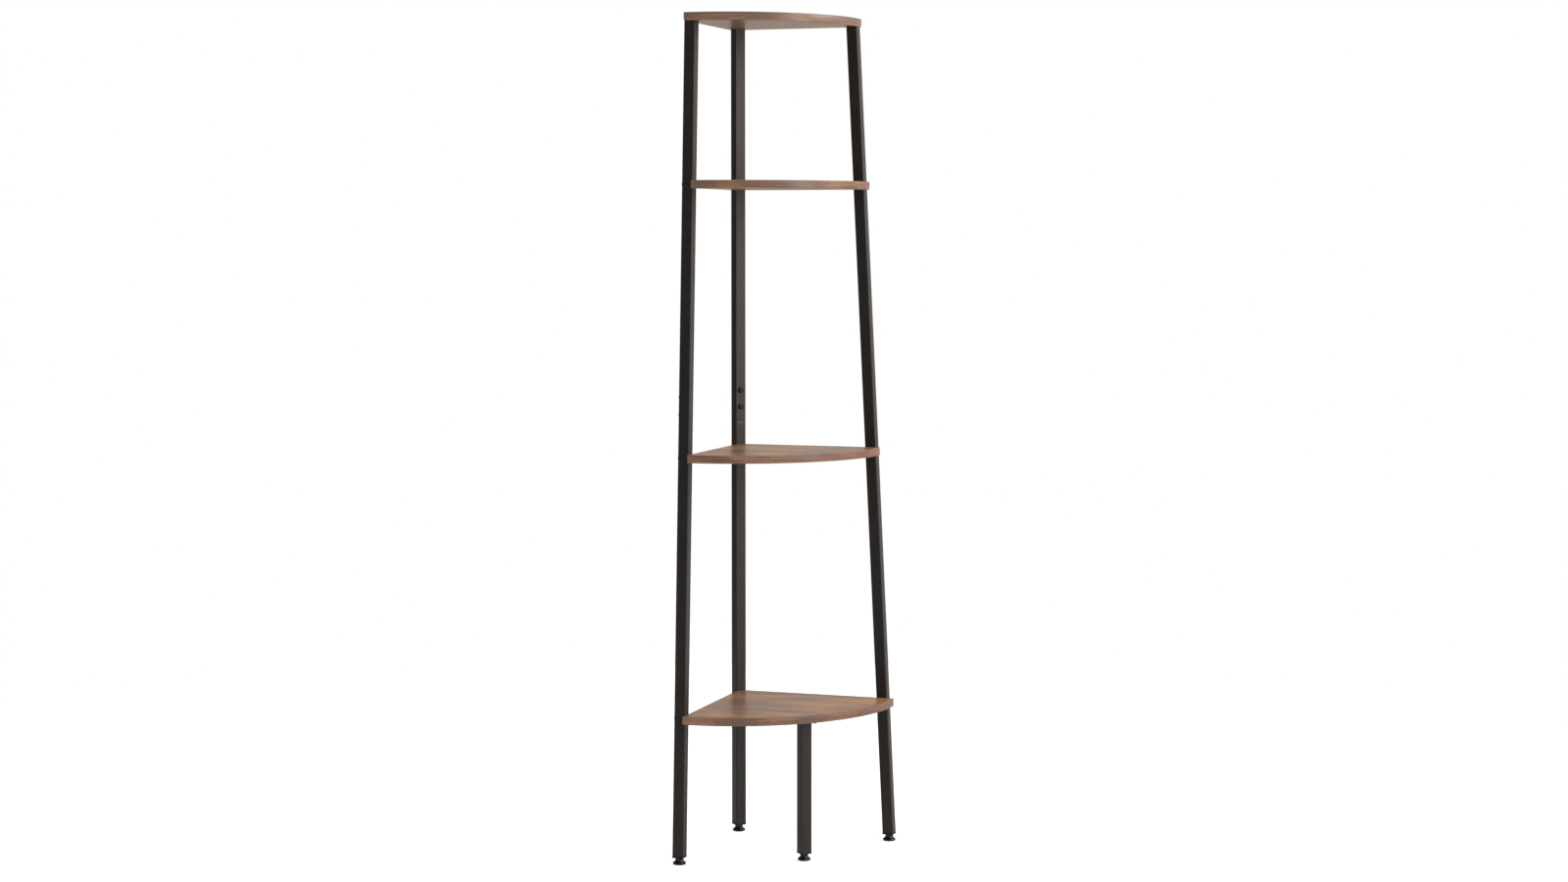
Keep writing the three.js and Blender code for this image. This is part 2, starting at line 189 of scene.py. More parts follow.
def surface(points, wrap_rows=False):
    """Quads between neighbours on a grid of points (row, column), whose columns close round.
    Columns run anticlockwise seen from above and rows climb, so that the faces look outwards."""
    rows, columns = points.shape[:2]
    row = np.arange(rows if wrap_rows else rows - 1)[:, None]
    column = np.arange(columns)[None, :]
    above, beside = (row + 1) % rows, (column + 1) % columns
    this_row, next_row = row * columns, above * columns
    corners = [this_row + column, this_row + beside, next_row + beside, next_row + column]
    return points.reshape(-1, 3), np.stack(corners, -1).reshape(-1, 4)


def cap(loops, upward):
    """Flat face bounded by the first loop, with the other convex loops as holes: the plane is
    filled with triangles that keep every loop, and those with all three corners on one hole are
    left out."""
    points = np.concatenate(loops)
    sizes = [len(loop) for loop in loops]
    owner = np.repeat(np.arange(len(loops)), sizes)
    starts = np.concatenate([[0], np.cumsum(sizes)[:-1]])
    edges = [np.stack([np.arange(n), (np.arange(n) + 1) % n], 1) + s for n, s in zip(sizes, starts)]
    flat = [Vector(p) for p in points[:, :2].tolist()]
    faces = np.array(delaunay_2d_cdt(flat, np.concatenate(edges).tolist(), [], 1, JOIN_DISTANCE)[2])
    rim = owner[faces]
    in_hole = (rim[:, 0] > 0) & (rim[:, 0] == rim[:, 1]) & (rim[:, 1] == rim[:, 2])
    faces = faces[~in_hole]
    a, b, c = (points[faces[:, i], :2] for i in range(3))
    turn = np.cross(b - a, c - a)
    faces[(turn > 0) != upward] = faces[(turn > 0) != upward][:, ::-1]
    return points, faces


def make_piece(name, parts, material, sharp_angle=SHARP_ANGLE):
    """Mesh object from (points, faces) parts, whose shared borders are welded."""
    points = np.concatenate([part[0] for part in parts])
    shifts = np.cumsum([0] + [len(part[0]) for part in parts])
    faces = [face for part, shift in zip(parts, shifts) for face in (part[1] + shift).tolist()]
    mesh = bpy.data.meshes.new(name)
    mesh.from_pydata(points.tolist(), [], faces)
    mesh.update()
    weld(mesh)
    mesh.shade_smooth()
    mesh.set_sharp_from_angle(angle=np.radians(sharp_angle))
    mesh.materials.append(material)
    piece = bpy.data.objects.new(name, mesh)
    bpy.context.scene.collection.objects.link(piece)
    return piece


def weld(mesh):
    """Joins points that lie in one place, so that seams and poles are closed."""
    work = bmesh.new()
    work.from_mesh(mesh)
    bmesh.ops.remove_doubles(work, verts=work.verts, dist=JOIN_DISTANCE)
    work.to_mesh(mesh)
    work.free()


def dress(piece, node, body="frame"):
    """The piece rides on a body and stands for a CAD node, which is hidden."""
    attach(piece, body)
    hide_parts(node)
    return piece


def bevelled(piece, width, segments):
    """Rounds the arrises of a piece."""
    bevel = piece.modifiers.new("eased", "BEVEL")
    bevel.width = width
    bevel.segments = segments
    bevel.limit_method = "ANGLE"
    bevel.angle_limit = np.radians(ARRIS_ANGLE)
    return piece


# Outlines and profiles

def rounded_square(side, corner, turn=0.0):
    """Outline of a square with round corners: four quarter circles whose centres stand a radius in
    from the sides, each with a point just before and after it that keeps the sides flat."""
    angle = np.radians(np.linspace(0, 90, CORNER_STEPS + 1))
    arc = np.stack([np.cos(angle), np.sin(angle)], 1) * corner + (side / 2 - corner)
    before = arc[:1] - [0, FLAT_HOLD]
    after = arc[-1:] - [FLAT_HOLD, 0]
    quarter = np.concatenate([before, arc, after])
    whole = [turned_plan(quarter, 90.0 * k) for k in range(4)]
    return turned_plan(np.concatenate(whole), turn)


def turned_plan(points, degrees):
    """Points (x, y) turned anticlockwise about the origin."""
    c, s = np.cos(np.radians(degrees)), np.sin(np.radians(degrees))
    return points @ np.array([[c, s], [-s, c]])


def circle(radius, sides):
    """Round outline with evenly spaced points."""
    angle = np.linspace(0, 2 * np.pi, sides, endpoint=False)
    return np.stack([np.cos(angle), np.sin(angle)], 1) * radius


def hexagon(across, sides):
    """Six-sided outline: at each angle, half the width across flats over the cosine of the angle to
    the nearest flat's middle."""
    angle = np.linspace(0, 2 * np.pi, sides, endpoint=False)
    to_flat = (angle + np.pi / 6) % (np.pi / 3) - np.pi / 6
    return circle(1.0, sides) * (across / 2 / np.cos(to_flat))[:, None]


def cross(arm, half_width, sides):
    """Outline of a cross recess: at each angle, the smaller of the nearest arm's length over the
    cosine of the angle to it, and of half its width over the sine."""
    angle = np.linspace(0, 2 * np.pi, sides, endpoint=False)
    to_arm = (angle + np.pi / 4) % (np.pi / 2) - np.pi / 4
    sine = np.maximum(np.abs(np.sin(to_arm)), SMALLEST_SINE)
    reach = np.minimum(arm / np.cos(to_arm), half_width / sine)
    return circle(1.0, sides) * reach[:, None]


def stacked(outlines, heights):
    """Outlines (x, y) one over the other at their heights, as a grid of points."""
    plan = np.stack(outlines)
    level = np.broadcast_to(np.array(heights)[:, None, None], (*plan.shape[:2], 1))
    return np.concatenate([plan, level], 2)


def smooth_run(points, steps):
    """Smooth curve through points: between two neighbours a cubic whose slope at each is half the
    way from the point before it to the point after it."""
    p = np.array(points, float)
    ends = np.concatenate([2 * p[:1] - p[1:2], p, 2 * p[-1:] - p[-2:-1]])
    a, b, c, d = ends[:-3, None], ends[1:-2, None], ends[2:-1, None], ends[3:, None]
    t = np.linspace(0, 1, steps, endpoint=False)[None, :, None]
    square = a - 2.5 * b + 2 * c - d / 2
    cube = 1.5 * (b - c) + (d - a) / 2
    run = b + t * (c - a) / 2 + t**2 * square + t**3 * cube
    return np.concatenate([run.reshape(-1, 2), p[-1:]])


def quarter_turn(centre, radius, start, steps):
    """Points of a quarter circle (radius, height), anticlockwise from a start angle in degrees."""
    angle = np.radians(np.linspace(start, start + 90, steps + 1))
    return np.array(centre) + radius * np.stack([np.cos(angle), np.sin(angle)], 1)


def placed(points, place, direction, spin=0.0):
    """Grid of points spun about +Z, then turned so that +Z points in a level direction, and moved."""
    up = np.array([0.0, 0.0, 1.0])
    forward = np.array([*direction, 0.0])
    side = np.cross(forward, up)
    plan = turned_plan(points[..., :2].reshape(-1, 2), spin).reshape(points[..., :2].shape)
    return plan[..., :1] * up + plan[..., 1:] * side + points[..., 2:] * forward + np.array(place)


# Boards

def board_outline(board, inset):
    """Outline of a board set in by a distance. From the back corner: a short cut across the corner,
    the left side, a quarter circle about the corner, and the back side. Where two lines meet, both
    are set in."""
    low, high = node_box(board["node"])
    radius = high[0] - low[0] - inset
    cut = board["corner_cut"] + inset * (2**0.5 - 1)
    first = np.arcsin(inset / radius)
    angle = np.linspace(first, np.pi / 2 - first, ARC_STEPS + 1)
    arc = radius * np.stack([np.sin(angle), np.cos(angle)], 1)
    run = np.concatenate([[[inset, cut]], arc, [[cut, inset]]])
    return np.stack([low[0] + run[:, 0], high[1] - run[:, 1]], 1)


def band_section(thickness):
    """Closed section of the edge band as (distance in from the edge, height): an upright strip
    whose two outer corners are quarter circles."""
    e = BAND_EASE
    lower = quarter_turn((e, e), e, 180, EASE_STEPS)[::-1]
    upper = quarter_turn((e, thickness - e), e, 90, EASE_STEPS)[::-1]
    inner = [[BAND_THICKNESS, thickness], [BAND_THICKNESS, 0]]
    return np.concatenate([lower, upper, inner])


def edge_band(board):
    """Band glued round a board. Its points carry the run along it, which its woodgrain follows."""
    low, high = node_box(board["node"])
    section = band_section(high[2] - low[2])
    rings = [board_outline(board, inset) for inset, _ in section]
    grid = stacked(rings, low[2] + section[:, 1])
    points, faces = surface(grid, wrap_rows=True)
    piece = make_piece(board["node"] + "_edge_band", [(points, faces)], WOODGRAIN_BAND)
    step = np.linalg.norm(np.diff(rings[0], axis=0), axis=1)
    run = np.concatenate([[0], np.cumsum(step)]) + board["band_start"]
    run = np.broadcast_to(run, grid.shape[:2])
    spread = np.stack([run, grid[..., 2], np.zeros(grid.shape[:2])], -1)
    along = piece.data.attributes.new("along_band", "FLOAT_VECTOR", "POINT")
    along.data.foreach_set("vector", spread.astype(np.float32).ravel())
    bevelled(piece, BAND_CORNER, BAND_CORNER_STEPS)
    return dress(piece, board["node"])


def countersink(place, top, bottom):
    """Wall of a countersunk hole from the underside up, and its two rims."""
    shank = circle(SHANK_DIAMETER / 2 + SEAT_GAP, SCREW_SIDES) + place
    mouth = circle(TOP_HEAD_DIAMETER / 2 + SEAT_GAP, SCREW_SIDES) + place
    heights = [bottom, top - SEAT_GAP - TOP_HEAD_HEIGHT, top - SEAT_GAP, top]
    rings = stacked([shank, shank, mouth, mouth], heights)
    points, faces = surface(rings)
    return (points, faces[:, ::-1]), rings[0], rings[-1]


def slab(board):
    """Melamine-faced core of a board inside its band: the outline carried straight up, and two flat
    caps, with countersunk holes where bolts go down into the legs."""
    low, high = node_box(board["node"])
    outline = board_outline(board, BAND_THICKNESS + GLUE_LINE)
    sides = stacked([outline, outline], [low[2], high[2]])
    holes = [countersink(place, high[2], low[2]) for place in board["bolts"]]
    parts = [surface(sides)]
    parts += [hole[0] for hole in holes]
    parts.append(cap([sides[0]] + [hole[1] for hole in holes], upward=False))
    parts.append(cap([sides[1]] + [hole[2] for hole in holes], upward=True))
    piece = make_piece(board["node"] + "_slab", parts, WOODGRAIN_FACE)
    return dress(piece, board["node"])


# Frame

def leg_axis(side, z):
    """Place (x, y) of a leg's axis at a height, on the line from its head to its foot."""
    parts = ("", "") if side == "front" else ("_upper", "_lower")
    lean = np.array(LEGS[side]["lean"])
    ends = []
    for part, way in zip(parts, (-1, 1)):
        low, high = node_box(f"{side}_leg{part}_tube")
        swing = (high - low)[:2] / 2 - TUBE_SIDE / 2
        ends.append(((low + high)[:2] / 2 + way * lean * swing, high[2] if way < 0 else low[2]))
    (head, head_z), (foot, foot_z) = ends
    return foot + (head - foot) * (z - foot_z) / (head_z - foot_z)


def tube_turn(side):
    """Angle of a leg's square tube: side legs stand square to the walls, others across the corner."""
    return 0.0 if side in ("left", "right") else 45.0


def leaned_rings(side, sections):
    """Rounded-square rings along a leg's axis from (side, corner, height) sections."""
    turn = tube_turn(side)
    outlines = [
        rounded_square(width, corner, turn) + leg_axis(side, z) for width, corner, z in sections
    ]
    return stacked(outlines, [z for _, _, z in sections])


def tube(name, node, side, low, high):
    """Square tube with round corners: its outer skin from the lower end up, over the deburred end
    and back down inside, closed into a ring."""
    bare, d = TUBE_SIDE - 2 * TUBE_DEBURR, TUBE_DEBURR
    bore, bore_corner = TUBE_SIDE - 2 * TUBE_WALL, TUBE_CORNER - TUBE_WALL
    sections = [
        (bare, TUBE_CORNER - d, low),
        (TUBE_SIDE, TUBE_CORNER, low + d),
        (TUBE_SIDE, TUBE_CORNER, high - d),
        (bare, TUBE_CORNER - d, high),
        (bore, bore_corner, high),
        (bore, bore_corner, low),
    ]
    piece = make_piece(name, [surface(leaned_rings(side, sections), wrap_rows=True)], POWDER_COAT)
    return dress(piece, node)


def long_leg_tubes(side):
    """The two tubes of a long leg."""
    for part in ("upper", "lower"):
        node = f"{side}_leg_{part}_tube"
        low, high = node_box(node)
        tube(f"{side}_{part}_tube", node, side, low[2], high[2])


def front_leg_frame():
    """Tube, plate and weld of the front leg."""
    node = "front_leg_tube"
    low, high = node_box(node)
    plate_low = high[2] - PLATE_THICKNESS
    tube("front_tube", node, "front", low[2], plate_low - TUBE_DEBURR)
    e = PLATE_EASE
    sections = [
        (PLATE_SIDE - 2 * e, PLATE_CORNER - e, plate_low),
        (PLATE_SIDE, PLATE_CORNER, plate_low + e),
        (PLATE_SIDE, PLATE_CORNER, high[2] - e),
        (PLATE_SIDE - 2 * e, PLATE_CORNER - e, high[2]),
    ]
    rings = leaned_rings("front", sections)
    parts = [surface(rings), cap([rings[0]], upward=False), cap([rings[-1]], upward=True)]
    dress(make_piece("front_plate", parts, POWDER_COAT), node)
    dress(weld_bead("front_weld", leg_axis("front", plate_low), plate_low), node)


def weld_bead(name, place, z):
    """Bead in the corner of tube and plate: a rounded section carried round the tube, whose size
    swells and shrinks as a sine of the way along it."""
    outline = rounded_square(TUBE_SIDE, TUBE_CORNER, tube_turn("front"))
    closed = np.concatenate([outline, outline[:1]])
    run = np.concatenate([[0], np.cumsum(np.linalg.norm(np.diff(closed, axis=0), axis=1))])
    way = np.linspace(0, run[-1], 4 * WELD_SIDE_STEPS, endpoint=False)
    path = np.stack([np.interp(way, run, closed[:, k]) for k in (0, 1)], 1)
    ahead = np.roll(path, -1, 0) - np.roll(path, 1, 0)
    outward = np.stack([ahead[:, 1], -ahead[:, 0]], 1) / np.linalg.norm(ahead, axis=1)[:, None]
    waves = round(run[-1] / WELD_RIPPLE_LENGTH)
    size = WELD_LEG + WELD_RIPPLE * np.sin(2 * np.pi * waves * way / run[-1])
    share = np.array(WELD_SECTION)
    plan = path[None] + outward[None] * share[:, :1, None] * size[None, :, None] + place
    height = z + share[:, 1:, None] * size[None, :, None]
    bead = surface(np.concatenate([plan, height], 2), wrap_rows=True)
    return make_piece(name, [bead], POWDER_COAT, WELD_SHARP_ANGLE)


# Screws

def crown(radius, height, rim):
    """Button crown as (radius, height) from its flat top down to the rim: a quarter of an ellipse
    over an upright rim."""
    angle = np.linspace(0, np.pi / 2, CROWN_STEPS + 1)
    flat = radius * CROWN_FLAT_SHARE
    out = flat + (radius - flat) * np.sin(angle)
    fall = rim + (height - rim) * np.cos(angle)
    return np.stack([out, -fall], 1)


def button_screw(length):
    """Button-head screw along +Z with the underside of its head at 0: the hexagon socket's floor
    and wall, the crown, the rim, the shank and its point."""
    head, shank = HEAD_DIAMETER / 2, SHANK_DIAMETER / 2
    socket_floor = SOCKET_DEPTH - HEAD_HEIGHT
    rings = [
        (circle(0, SCREW_SIDES), socket_floor + SOCKET_FLOOR_DIP),
        (hexagon(SOCKET_ACROSS, SCREW_SIDES), socket_floor),
        (hexagon(SOCKET_ACROSS, SCREW_SIDES), -HEAD_HEIGHT + SOCKET_LEAD),
        (hexagon(SOCKET_MOUTH_ACROSS, SCREW_SIDES), -HEAD_HEIGHT),
    ]
    profile = [*crown(head, HEAD_HEIGHT, HEAD_RIM), (head, 0), (shank, 0)]
    profile += [(shank, length - POINT_LENGTH), (shank - POINT_LENGTH, length), (0, length)]
    rings += [(circle(r, SCREW_SIDES), z) for r, z in profile]
    return stacked([outline for outline, _ in rings], [z for _, z in rings])


def board_bolt(side, shelf, spin):
    """Bolt through a leg into a shelf, from the wall side."""
    node = f"{shelf}_bolt_{side}"
    low, high = node_box(node)
    z = (low[2] + high[2]) / 2
    inward = np.array(LEGS[side]["inward"])
    place = [*(leg_axis(side, z) - inward * (TUBE_SIDE / 2 + SEAT_GAP)), z]
    grid = placed(button_screw(TUBE_SIDE + 2 * SEAT_GAP + INSERT_LENGTH), place, inward, spin)
    return dress(make_piece(f"{side}_bolt_of_{shelf}", [surface(grid)], BLACK_SCREW), node)


def joint_screw(side, level, spin):
    """Screw of a leg's joint: on the wall side of a side leg, on the board side of the rear one."""
    node = f"{side}_leg_joint_screw_{level}"
    low, high = node_box(node)
    z = (low[2] + high[2]) / 2
    inward = np.array(LEGS[side]["inward"]) * (-1 if side == "rear" else 1)
    place = [*(leg_axis(side, z) - inward * (TUBE_SIDE / 2 + SEAT_GAP)), z]
    grid = placed(button_screw(JOINT_SCREW_LENGTH), place, inward, spin)
    return dress(make_piece(f"{side}_joint_screw_{level}", [surface(grid)], BLACK_SCREW), node)


def top_bolt(side):
    """Countersunk bolt of the top board, from its point up: shank, cone, flat head and socket."""
    node = f"top_board_bolt_{side}"
    low, high = node_box(node)
    place = (low + high)[:2] / 2
    head, shank = TOP_HEAD_DIAMETER / 2, SHANK_DIAMETER / 2
    top, under = high[2], high[2] - TOP_HEAD_HEIGHT
    profile = [
        (circle(0, SCREW_SIDES), low[2]),
        (circle(shank - POINT_LENGTH, SCREW_SIDES), low[2]),
        (circle(shank, SCREW_SIDES), low[2] + POINT_LENGTH),
        (circle(shank, SCREW_SIDES), under),
        (circle(head, SCREW_SIDES), top - TOP_HEAD_RIM),
        (circle(TOP_HEAD_FACE_DIAMETER / 2, SCREW_SIDES), top),
        (hexagon(TOP_SOCKET_MOUTH_ACROSS, SCREW_SIDES), top),
        (hexagon(SOCKET_ACROSS, SCREW_SIDES), top - SOCKET_LEAD),
        (hexagon(SOCKET_ACROSS, SCREW_SIDES), top - SOCKET_DEPTH),
        (circle(0, SCREW_SIDES), top - TOP_SOCKET_MIDDLE_DEPTH),
    ]
    grid = stacked([outline + place for outline, _ in profile], [z for _, z in profile])
    return dress(make_piece(f"{side}_top_bolt", [surface(grid)], BLACK_SCREW), node)


def plate_screw(number):
    """Pan-head wood screw of the front leg's plate, pointing up, with a cross recess from below."""
    node = f"front_leg_plate_screw_{number}"
    low, high = node_box(node)
    place = (low + high)[:2] / 2
    head, shank = PLATE_SCREW_HEAD_DIAMETER / 2, PLATE_SCREW_DIAMETER / 2
    bottom, under = low[2], low[2] + PLATE_SCREW_HEAD_HEIGHT
    recess = cross(CROSS_ARM, CROSS_HALF_WIDTH, SCREW_SIDES)
    dome = crown(head, PLATE_SCREW_HEAD_HEIGHT, PLATE_SCREW_RIM)
    profile = [
        (circle(0, SCREW_SIDES), bottom + CROSS_DEPTH),
        (recess * CROSS_FLOOR_SHARE, bottom + CROSS_WALL_DEPTH),
        (recess, bottom),
        *[(circle(r, SCREW_SIDES), under + z) for r, z in dome[1:]],
        (circle(head, SCREW_SIDES), under),
        (circle(shank, SCREW_SIDES), under),
        (circle(shank, SCREW_SIDES), high[2] - PLATE_SCREW_POINT),
        (circle(0, SCREW_SIDES), high[2]),
    ]
    spin = PLATE_SCREW_SPIN * number
    outlines = [turned_plan(outline, spin) + place for outline, _ in profile]
    grid = stacked(outlines, [z for _, z in profile])
    return dress(make_piece(f"front_plate_screw_{number}", [surface(grid)], BLACK_SCREW), node)


# Levelling feet

def end_plug(side):
    """Plug in a leg's lower end: up the outside of its lip and body, then down its bore."""
    node = f"{side}_foot_plug"
    low, high = node_box(node)
    e, lip_top = PLUG_LIP_EASE, low[2] + PLUG_LIP_HEIGHT
    sections = [
        (PLUG_LIP_SIDE - 2 * e, PLUG_LIP_CORNER - e, low[2]),
        (PLUG_LIP_SIDE, PLUG_LIP_CORNER, low[2] + e),
        (PLUG_LIP_SIDE, PLUG_LIP_CORNER, lip_top - e / 2),
        (PLUG_LIP_SIDE - e, PLUG_LIP_CORNER - e / 2, lip_top),
        (PLUG_BODY_SIDE, PLUG_BODY_CORNER, lip_top),
        (PLUG_BODY_SIDE, PLUG_BODY_CORNER, high[2]),
    ]
    outside = leaned_rings(side, sections)
    centre = leg_axis(side, low[2])
    spokes = rounded_square(PLUG_LIP_SIDE, PLUG_LIP_CORNER, tube_turn(side))
    bore = spokes / np.linalg.norm(spokes, axis=1)[:, None] * (STUD_DIAMETER / 2 + SEAT_GAP) + centre
    grid = np.concatenate([outside, stacked([bore, bore], [high[2], low[2]])])
    return dress(make_piece(f"{side}_end_plug", [surface(grid, wrap_rows=True)], NYLON), node)


def foot_base(side):
    """Levelling foot turned about its axis: flat sole, rounded rim, a waist that flares to the
    hub's top face, and the blind socket of the stud. The outline is a smooth curve through a few
    points."""
    node = f"{side}_foot_base"
    low, high = node_box(node)
    place = (low + high)[:2] / 2
    rim, tall = (high[0] - low[0]) / 2, high[2] - low[2]
    run = smooth_run([(r * rim, z * tall) for r, z in FOOT_RIM + FOOT_WAIST], FOOT_STEPS)
    socket = STUD_DIAMETER / 2 + SEAT_GAP
    stud_low = node_box(f"{side}_foot_stud")[0][2] - SEAT_GAP
    profile = [(0, 0), *run, (socket, tall), (socket, stud_low - low[2]), (0, stud_low - low[2])]
    outlines = [circle(r, FOOT_SIDES) + place for r, _ in profile]
    grid = stacked(outlines, [low[2] + z for _, z in profile])
    piece = make_piece(f"{side}_foot", [surface(grid)], FOOT_PLASTIC, FOOT_SHARP_ANGLE)
    return dress(piece, node, f"{side}_foot")


def foot_stud(side):
    """Threaded stud: the radius falls from the crest to the root and back once a pitch, along a
    helix that climbs one pitch a turn. The V between two crests is cut off flat at the root and at
    the crest, and both ends are tapered."""
    node = f"{side}_foot_stud"
    low, high = node_box(node)
    place = (low + high)[:2] / 2
    length = high[2] - low[2]
    z = np.linspace(0, length, round(length / THREAD_PITCH * THREAD_ROWS) + 1)[:, None]
    angle = np.linspace(0, 2 * np.pi, THREAD_SIDES, endpoint=False)[None, :]
    phase = (z / THREAD_PITCH - angle / (2 * np.pi)) % 1
    ridge = np.clip(THREAD_V * np.abs(2 * phase - 1) - THREAD_ROOT_CUT, 0, 1)
    crest = STUD_DIAMETER / 2
    taper = crest - THREAD_DEPTH + np.minimum(z, length - z)
    radius = np.minimum(crest - THREAD_DEPTH * (1 - ridge), taper)
    plan = np.stack([radius * np.cos(angle), radius * np.sin(angle)], -1) + place
    height = np.broadcast_to((low[2] + z)[..., None], (*plan.shape[:2], 1))
    grid = np.concatenate([plan, height], 2)
    ends = [np.broadcast_to([*place, level], (1, THREAD_SIDES, 3)) for level in (low[2], high[2])]
    parts = [surface(np.concatenate([ends[0], grid, ends[1]]))]
    piece = make_piece(f"{side}_threaded_stud", parts, ZINC, THREAD_SHARP_ANGLE)
    return dress(piece, node, f"{side}_foot")


# Materials

def linear(text):
    """sRGB hex text as a linear colour: a dark channel is divided by 12.92, and any other is
    shifted, scaled and raised to the power 2.4."""
    srgb = np.array([int(text[i : i + 2], 16) for i in (1, 3, 5)]) / 255
    rgb = np.where(srgb <= 0.04045, srgb / 12.92, ((srgb + 0.055) / 1.055) ** 2.4)
    return (*rgb.tolist(), 1.0)


def add(tree, kind, inputs=None, stops=None, **settings):
    """Adds a node with its settings, and sets or links its inputs. Stops are a colour ramp's places
    and colours."""
    node = tree.nodes.new("ShaderNode" + kind)
    for name, value in settings.items():
        setattr(node, name, value)
    for key, value in (inputs or {}).items():
        if isinstance(value, bpy.types.NodeSocket):
            tree.links.new(value, node.inputs[key])
        else:
            node.inputs[key].default_value = value
    for i, (place, colour) in enumerate(stops or []):
        ramp = node.color_ramp.elements
        stop = ramp[i] if i < len(ramp) else ramp.new(place)
        stop.position = place
        stop.color = linear(colour)
    return node


def new_material(name):
    """Empty node material with its shader and output."""
    material = bpy.data.materials.new(name)
    material.use_nodes = True
    tree = material.node_tree
    tree.nodes.clear()
    shader = add(tree, "BsdfPrincipled")
    add(tree, "OutputMaterial", {"Surface": shader.outputs["BSDF"]})
    return material, tree, shader


# Sockets of a Mix node by number, because those for numbers and for colours have the same names
NUMBER_A, NUMBER_B, NUMBER_OUT = 2, 3, 0
COLOUR_A, COLOUR_B, COLOUR_OUT = 6, 7, 2

# Colours of the printed woodgrain, from grey-mauve heart streaks over brown to tan
FACE_PATCHES = [
    (0.38, "#6b5c58"),
    (0.44, "#81675e"),
    (0.49, "#946c55"),
    (0.53, "#a57852"),
    (0.59, "#b6885c"),
    (0.66, "#8a6d61"),
]
# The band's print is the same wood, softer and less golden
BAND_PATCHES = [
    (0.38, "#6f5f59"),
    (0.44, "#81675c"),
    (0.49, "#8f6b58"),
    (0.53, "#9c765c"),
    (0.59, "#aa846a"),
    (0.66, "#8c6f64"),
]
RING_COLOUR = "#5a4234"
PORE_COLOUR = "#4b372c"

# Growth lines stand 7.5 mm apart. A wave texture's own bands are 2 pi / 20 of its unit apart
RING_SPACING = 0.0075
WAVE_BANDS = 20
# Layers of the print: length along the grain and width across it, in metres, a place of its own in
# the texture, and the texture's settings
WOOD_LAYERS = {
    "patch": {
        "length": 0.14,
        "width": 0.038,
        "place": 0.0,
        "texture": {"Detail": 3.0, "Roughness": 0.5, "Distortion": 0.25},
    },
    "streak": {
        "length": 0.07,
        "width": 0.005,
        "place": 3.0,
        "texture": {"Detail": 6.0, "Roughness": 0.7, "Distortion": 0.1},
    },
    "fibre": {
        "length": 0.045,
        "width": 0.0011,
        "place": 17.0,
        "texture": {"Detail": 3.0, "Roughness": 0.6},
    },
    "ring": {
        "length": 0.16,
        "width": RING_SPACING * WAVE_BANDS / (2 * np.pi),
        "place": 7.0,
        "texture": {"Distortion": 5.0, "Detail": 2.0, "Detail Scale": 1.0, "Detail Roughness": 0.6},
    },
    "pore": {
        "length": 0.011,
        "width": 0.0005,
        "place": 11.0,
        "texture": {"Detail": 2.0, "Roughness": 0.6},
    },
}
STREAK_SHARE = 0.4
FIBRE_SHADE = {"From Min": 0.36, "From Max": 0.64, "To Min": 0.84, "To Max": 1.16}
RING_SHADE = {"From Min": 0.0, "From Max": 0.55, "To Min": 0.22, "To Max": 0.0}
PORE_SHADE = {"From Min": 0.56, "From Max": 0.64, "To Min": 0.0, "To Max": 0.5}
PORE_DENT = {"Strength": 0.5, "Distance": 0.00006}
RESIN_GLOSS = {"To Min": 0.28, "To Max": 0.38}
RESIN_IOR = 1.5


